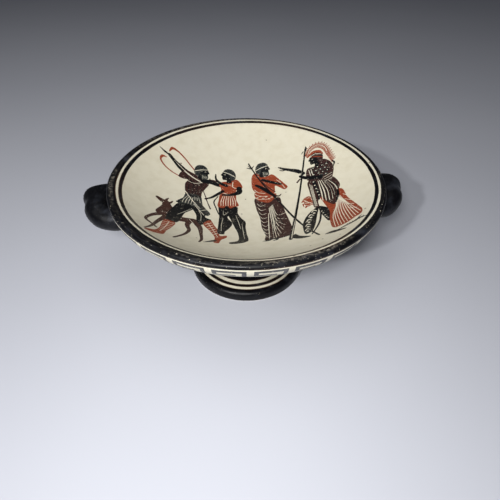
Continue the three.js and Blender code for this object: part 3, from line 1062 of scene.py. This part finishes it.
def makeBrushing():
    # streaks left by a brush or by the wheel, running round the cup, with soft pools between them
    tree, entry, leaving = newGroup("brushing", [("Streak", "Float", 900.0), ("Length", "Float", 14.0)],
                                    [("Streaks", "Float"), ("Pools", "Float")])
    streak, length = entry.outputs["Streak"], entry.outputs["Length"]
    place = put(tree, "TexCoord").outputs["Object"]
    x, y, z = put(tree, "SeparateXYZ", Vector=place).outputs
    angle = work(tree, "ARCTAN2", y, x)
    radius = work(tree, "POWER", plus(tree, times(tree, x, x), times(tree, y, y)), 0.5)
    across = put(tree, "CombineXYZ", X=times(tree, work(tree, "SINE", angle), length),
                 Y=times(tree, radius, streak),
                 Z=plus(tree, times(tree, z, streak), times(tree, work(tree, "COSINE", angle), length)))
    streaks = put(tree, "TexNoise", Vector=across.outputs[0], Scale=1.0, Detail=3.0, Roughness=0.6)
    pools = put(tree, "TexNoise", Vector=place, Scale=95.0, Detail=4.0, Roughness=0.62)
    tree.links.new(streaks.outputs["Fac"], leaving.inputs["Streaks"])
    tree.links.new(pools.outputs["Fac"], leaving.inputs["Pools"])
    return tree


def makeGrain():
    # fine fired-clay tooth, with a slow unevenness under it
    tree, entry, leaving = newGroup("clayGrain", [("Fine", "Float", 2600.0), ("Slow", "Float", 130.0)],
                                    [("Height", "Float"), ("Mottle", "Float")])
    place = put(tree, "TexCoord").outputs["Object"]
    fine = put(tree, "TexNoise", Vector=place, Scale=entry.outputs["Fine"], Detail=3.0, Roughness=0.55)
    slow = put(tree, "TexNoise", Vector=place, Scale=entry.outputs["Slow"], Detail=5.0, Roughness=0.55)
    both = plus(tree, times(tree, fine.outputs["Fac"], 0.35),
                times(tree, slow.outputs["Fac"], 0.65))
    tree.links.new(both, leaving.inputs["Height"])
    tree.links.new(slow.outputs["Fac"], leaving.inputs["Mottle"])
    return tree


def makeSpecks():
    # scattered small spots, such as iron specks, chips or dust
    tree, entry, leaving = newGroup("specks", [("Density", "Float", 260.0), ("Size", "Float", 0.16),
                                               ("Share", "Float", 0.2)], [("Mask", "Float")])
    place = put(tree, "TexCoord").outputs["Object"]
    ragged = put(tree, "TexNoise", Vector=place, Scale=1500.0, Detail=3.0)
    spots = put(tree, "TexVoronoi", {"feature": "F1"}, Vector=place, Scale=entry.outputs["Density"])
    lottery = put(tree, "SeparateColor", Color=spots.outputs["Color"])
    near = plus(tree, spots.outputs["Distance"],
                times(tree, minus(tree, ragged.outputs["Fac"], 0.5), 0.25))
    reach = times(tree, entry.outputs["Size"], plus(tree, lottery.outputs["Green"], 0.35))
    spot = ramp(tree, minus(tree, reach, near), 0.0, 0.03)
    chosen = work(tree, "LESS_THAN", lottery.outputs["Red"], entry.outputs["Share"])
    tree.links.new(times(tree, spot, chosen), leaving.inputs["Mask"])
    return tree


def newMaterial(name, roughness=0.5):
    material = bpy.data.materials.new(name)
    material.use_nodes = True
    tree = material.node_tree
    tree.nodes.clear()
    surface = tree.nodes.new("ShaderNodeBsdfPrincipled")
    surface.inputs["Roughness"].default_value = roughness
    surface.inputs["Specular IOR Level"].default_value = 0.3
    out = tree.nodes.new("ShaderNodeOutputMaterial")
    tree.links.new(surface.outputs[0], out.inputs["Surface"])
    return material, tree, surface


slip = {
    "cream": linear(220, 214, 193),
    "creamDeep": linear(213, 206, 183),
    "speck": linear(96, 84, 66),
    "black": linear(5, 5, 8),
    # worn black, and also the painted highlight of the lighter brush streaks
    "blackWornAndSheen": linear(40, 41, 46),
    # painted sheen: bluish grey laid over the black in cloudy patches, standing in for soft reflections on
    # the glaze
    "paintedSheen": linear(80, 84, 94),
    # pale band inside the lip: partly powder, partly painted sheen
    "powderAndSheen": linear(128, 121, 110),
    "brown": linear(82, 54, 34),
    "clay": linear(214, 206, 184),
    "creamRough": 0.5,
    "blackRough": 0.33,
    "specks": {"Density": 210.0, "Size": 0.17, "Share": 0.09},
    "chips": {"Density": 560.0, "Size": 0.26, "Share": 0.22},
    "dust": {"Density": 1250.0, "Size": 0.26, "Share": 0.2},
    "ragged": 0.3,                   # mm that the brush's edge frays
    "unsteady": 0.45,                # mm that it wanders
}


def raggedEdge(tree, place, depth):
    # mm inside the black, with its edge drawn by an unsteady brush
    fine = put(tree, "TexNoise", Vector=place, Scale=420.0, Detail=3.0, Roughness=0.6).outputs["Fac"]
    slow = put(tree, "TexNoise", Vector=place, Scale=55.0, Detail=1.0).outputs["Fac"]
    edge = plus(tree, depth, times(tree, minus(tree, fine, 0.5), slip["ragged"]))
    return plus(tree, edge, times(tree, minus(tree, slow, 0.5), slip["unsteady"])), fine


def wornBlack(tree, place, edge, fine, streaks, worn, rubbed, dust):
    # streaked black, its lighter streaks partly brush marks and partly painted highlight: brown where it
    # is thin, pale powder with painted sheen inside the lip, cloudy patches of painted bluish sheen, and
    # dusty
    patchy = put(tree, "TexNoise", Vector=place, Scale=14.0, Detail=3.0).outputs["Fac"]
    thin = times(tree, ramp(tree, edge, 1.1, 0.0), ramp(tree, patchy, 0.42, 0.6))
    # lighter brush streaks: partly brush marks, partly painted highlight
    black = blendColours(tree, times(tree, streaks, 0.5), slip["black"], slip["blackWornAndSheen"])
    black = blendColours(tree, times(tree, thin, 0.75), black, slip["brown"])
    black = blendColours(tree, times(tree, worn, 0.45), black, slip["blackWornAndSheen"])
    # pale powder inside the lip, partly standing in for painted sheen on the black
    powderedAndSheen = put(tree, "Attribute", {"attribute_name": "powderedAndSheen"}).outputs["Fac"]
    powderAndSheen = times(tree, ramp(tree, powderedAndSheen, 0.0, 0.8), ramp(tree, fine, 0.42, 0.66))
    powderAndSheen = times(tree, powderAndSheen, ramp(tree, patchy, 0.45, 0.56, 0.06, 0.85))
    black = blendColours(tree, powderAndSheen, black, slip["powderAndSheen"])
    # painted sheen: cloudy bluish-grey patches over the black stand in for the glaze's soft reflections
    clouds = put(tree, "TexNoise", Vector=place, Scale=48.0, Detail=6.0, Roughness=0.62).outputs["Fac"]
    paintedSheen = times(tree, ramp(tree, clouds, 0.52, 0.8), 0.5)
    black = blendColours(tree, paintedSheen, black, slip["paintedSheen"])
    dusty = times(tree, dust, ramp(tree, rubbed, 0.0, 0.7, 0.04, 0.4))
    return blendColours(tree, dusty, black, slip["clay"])


def makeSlip(groups):
    # cream slip all over, black slip brushed on where blackDepth says
    material, tree, surface = newMaterial("cream_and_black_slip")
    place = put(tree, "TexCoord").outputs["Object"]
    grain = useGroup(tree, groups["grain"])
    brushing = useGroup(tree, groups["brushing"])
    specks, chips, dust = (useGroup(tree, groups["specks"], **slip[name]).outputs["Mask"]
                           for name in ("specks", "chips", "dust"))
    depth, rubbed = (put(tree, "Attribute", {"attribute_name": name}).outputs["Fac"]
                     for name in ("blackDepth", "rubbed"))
    mottle, pools = grain.outputs["Mottle"], brushing.outputs["Pools"]
    cream = blendColours(tree, ramp(tree, mottle, 0.35, 0.75), slip["cream"], slip["creamDeep"])
    cream = blendColours(tree, times(tree, specks, 0.75), cream, slip["speck"])
    edge, fine = raggedEdge(tree, place, depth)
    mask = ramp(tree, edge, -0.05, 0.07)
    # brush streaks: they raise the bump and lighten the black, partly as a painted highlight
    streaks = ramp(tree, brushing.outputs["Streaks"], 0.5, 0.85)
    worn = ramp(tree, times(tree, rubbed, pools), 0.4, 0.7)
    black = wornBlack(tree, place, edge, fine, streaks, worn, rubbed, dust)

    # chips cluster on the rubbed edges
    cluster = put(tree, "TexNoise", Vector=place, Scale=75.0, Detail=2.0).outputs["Fac"]
    where = ramp(tree, plus(tree, times(tree, rubbed, 0.42), cluster), 0.88, 1.0)
    chipped = times(tree, chips, where, clamp=True)
    black = blendColours(tree, chipped, black, slip["clay"])
    feed(tree, surface, "Base Color", blendColours(tree, mask, cream, black))

    creamRough = ramp(tree, mottle, 0.3, 0.8, slip["creamRough"] - 0.06, slip["creamRough"] + 0.1)
    blackRough = ramp(tree, pools, 0.35, 0.7, slip["blackRough"], slip["blackRough"] + 0.16)
    blackRough = plus(tree, blackRough, times(tree, plus(tree, chipped, worn), 0.3))
    rough = put(tree, "Mix", {"data_type": "FLOAT"})
    feed(tree, rough, 0, mask)
    feed(tree, rough, 2, creamRough)
    feed(tree, rough, 3, blackRough)
    feed(tree, surface, "Roughness", rough.outputs[0])
    feed(tree, surface, "Specular IOR Level", ramp(tree, mask, 0.0, 1.0, 0.36, 0.24))
    height = plus(tree, grain.outputs["Height"], times(tree, mask, 0.35))
    height = plus(tree, height, times(tree, streaks, 0.12))
    height = minus(tree, height, times(tree, chipped, 0.8))
    bump = put(tree, "Bump", Strength=0.35, Distance=0.00012, Height=height)
    feed(tree, surface, "Normal", bump.outputs[0])
    return material


pigments = {
    # colour, streak colour, share of streaks, roughness
    "black": (linear(5, 6, 9), linear(28, 31, 36), 0.3, 0.42),
    "grey": (linear(36, 39, 38), linear(88, 90, 85), 0.6, 0.48),
    "red": (linear(136, 56, 30), linear(172, 94, 62), 0.5, 0.52),
    "maroon": (linear(48, 27, 25), linear(92, 60, 52), 0.45, 0.5),
    "brown": (linear(58, 34, 28), linear(100, 66, 54), 0.45, 0.5),
    "meander": (linear(72, 72, 74), linear(122, 121, 121), 0.55, 0.5),
}


def makePigment(name, groups):
    # thin brushed paint: streaked, patchy and a little worn through
    colour, streak, share, roughness = pigments[name]
    material, tree, surface = newMaterial("paint_" + name, roughness)
    place = put(tree, "TexCoord").outputs["Object"]
    grain = useGroup(tree, groups["grain"], Fine=3200.0, Slow=420.0)
    flecks = useGroup(tree, groups["specks"], Density=1100.0, Size=0.34, Share=0.22)
    brush = put(tree, "Mapping", Vector=place)
    brush.inputs["Rotation"].default_value = (0.3, 0.2, 1.1)
    brush.inputs["Scale"].default_value = (1.0, 5.0, 1.0)
    strokes = put(tree, "TexNoise", Vector=brush.outputs[0], Scale=190.0, Detail=4.0, Roughness=0.65)
    wash = ramp(tree, strokes.outputs["Fac"], 0.42, 0.72)
    base = blendColours(tree, times(tree, wash, share), colour, streak)
    base = blendColours(tree, times(tree, flecks.outputs["Mask"], 0.5), base, slip["creamDeep"])
    feed(tree, surface, "Base Color", base)
    uneven = ramp(tree, grain.outputs["Mottle"], 0.3, 0.75, roughness - 0.07, roughness + 0.1)
    feed(tree, surface, "Roughness", uneven)
    bump = put(tree, "Bump", Strength=0.3, Distance=0.00008, Height=plus(
        tree, grain.outputs["Height"], times(tree, wash, 0.3)))
    feed(tree, surface, "Normal", bump.outputs[0])
    return material


stage = {
    "side": 4.0,                     # metres
    "drop": 0.0002,                  # the table lies this far under the foot
    "table": (linear(194, 196, 205), linear(203, 205, 213)),
    "sky": (0.86, 0.89, 1.0, 1),
    "skyStrength": 0.06,
    # place and aim in metres, disk's width, watts
    "key": ((-0.40, -0.73, 0.57), (0, 0, 0.06), 0.04, 3.9),
    "byTheLens": ((-0.03, -0.30, 0.29), (0, 0, 0.04), 0.05, 0.95),
    "soft": ((-0.5, -0.75, 0.95), (0, 0, 0), 0.5, 3.0),
    "overhead": ((-0.1, 0.0, 1.2), (0, 0, 0), 1.0, 2.1),
}


def makeTable():
    material, tree, surface = newMaterial("pale_table", 0.6)
    place = put(tree, "TexCoord").outputs["Object"]
    cloud = put(tree, "TexNoise", Vector=place, Scale=3.0, Detail=3.0)
    feed(tree, surface, "Base Color", blendColours(tree, cloud.outputs["Fac"], *stage["table"]))
    return material


def placeCamera():
    down, roll = math.radians(camera["down"]), math.radians(camera["roll"])
    ahead = Vector((0, math.cos(down), -math.sin(down)))
    flat = Vector((1, 0, 0))
    rise = Vector((0, math.sin(down), math.cos(down)))
    right = flat * math.cos(roll) + rise * math.sin(roll)
    upward = rise * math.cos(roll) - flat * math.sin(roll)
    axes = Matrix((turned @ right, turned @ upward, turned @ -ahead)).transposed()
    data = bpy.data.cameras.new("view")
    data.lens = camera["lens"]
    data.sensor_width = 36
    data.clip_start = 0.01
    made = bpy.data.objects.new("view", data)
    bpy.context.scene.collection.objects.link(made)
    spot = turned @ Vector(camera["place"]) * scale
    made.matrix_world = Matrix.Translation(spot) @ axes.to_4x4()
    bpy.context.scene.camera = made


def addLight(name):
    place, aim, width, power = stage[name]
    data = bpy.data.lights.new(name, "AREA")
    data.shape = "DISK"
    data.size = width
    data.energy = power
    made = bpy.data.objects.new(name, data)
    made.location = turned @ Vector(place)
    made.rotation_euler = (Vector(aim) - made.location).to_track_quat("-Z", "Y").to_euler()
    bpy.context.scene.collection.objects.link(made)


def setStage():
    bpy.ops.mesh.primitive_plane_add(size=stage["side"], location=(0, 0, -stage["drop"]))
    table = bpy.context.object
    table.name = "table"
    table.data.materials.append(makeTable())
    world = bpy.data.worlds.new("studio")
    world.use_nodes = True
    sky = world.node_tree.nodes["Background"]
    sky.inputs["Color"].default_value = stage["sky"]
    sky.inputs["Strength"].default_value = stage["skyStrength"]
    bpy.context.scene.world = world
    for name in ("key", "byTheLens", "soft", "overhead"):
        addLight(name)
    bpy.context.scene.view_settings.view_transform = "Standard"


placeCamera()
setStage()
print("stage and camera set")

groups = {"brushing": makeBrushing(), "grain": makeGrain(), "specks": makeSpecks()}
print("node groups built:", ", ".join(groups))

body = turnCup()
joinClay(body, [rollHandle(f"roll{index}", path) for index, path in enumerate(handlePaths)])
print("cup turned and handles luted on:", len(body.data.polygons), "faces")
markPaint(body)
body.data.materials.clear()
body.data.materials.append(makeSlip(groups))
body.data.shade_smooth()
body.data.set_sharp_from_angle(angle=math.radians(50))
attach(body, "root")
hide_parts("kylix_cup")
print("slip and bands laid on")

coats = paintPicture()
coats["meander"] = paintMeander()
for colour, coat in coats.items():
    coat.data.materials.append(makePigment(colour, groups))
    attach(coat, "root")
    print("painted", coat.name, len(coat.data.polygons), "faces")
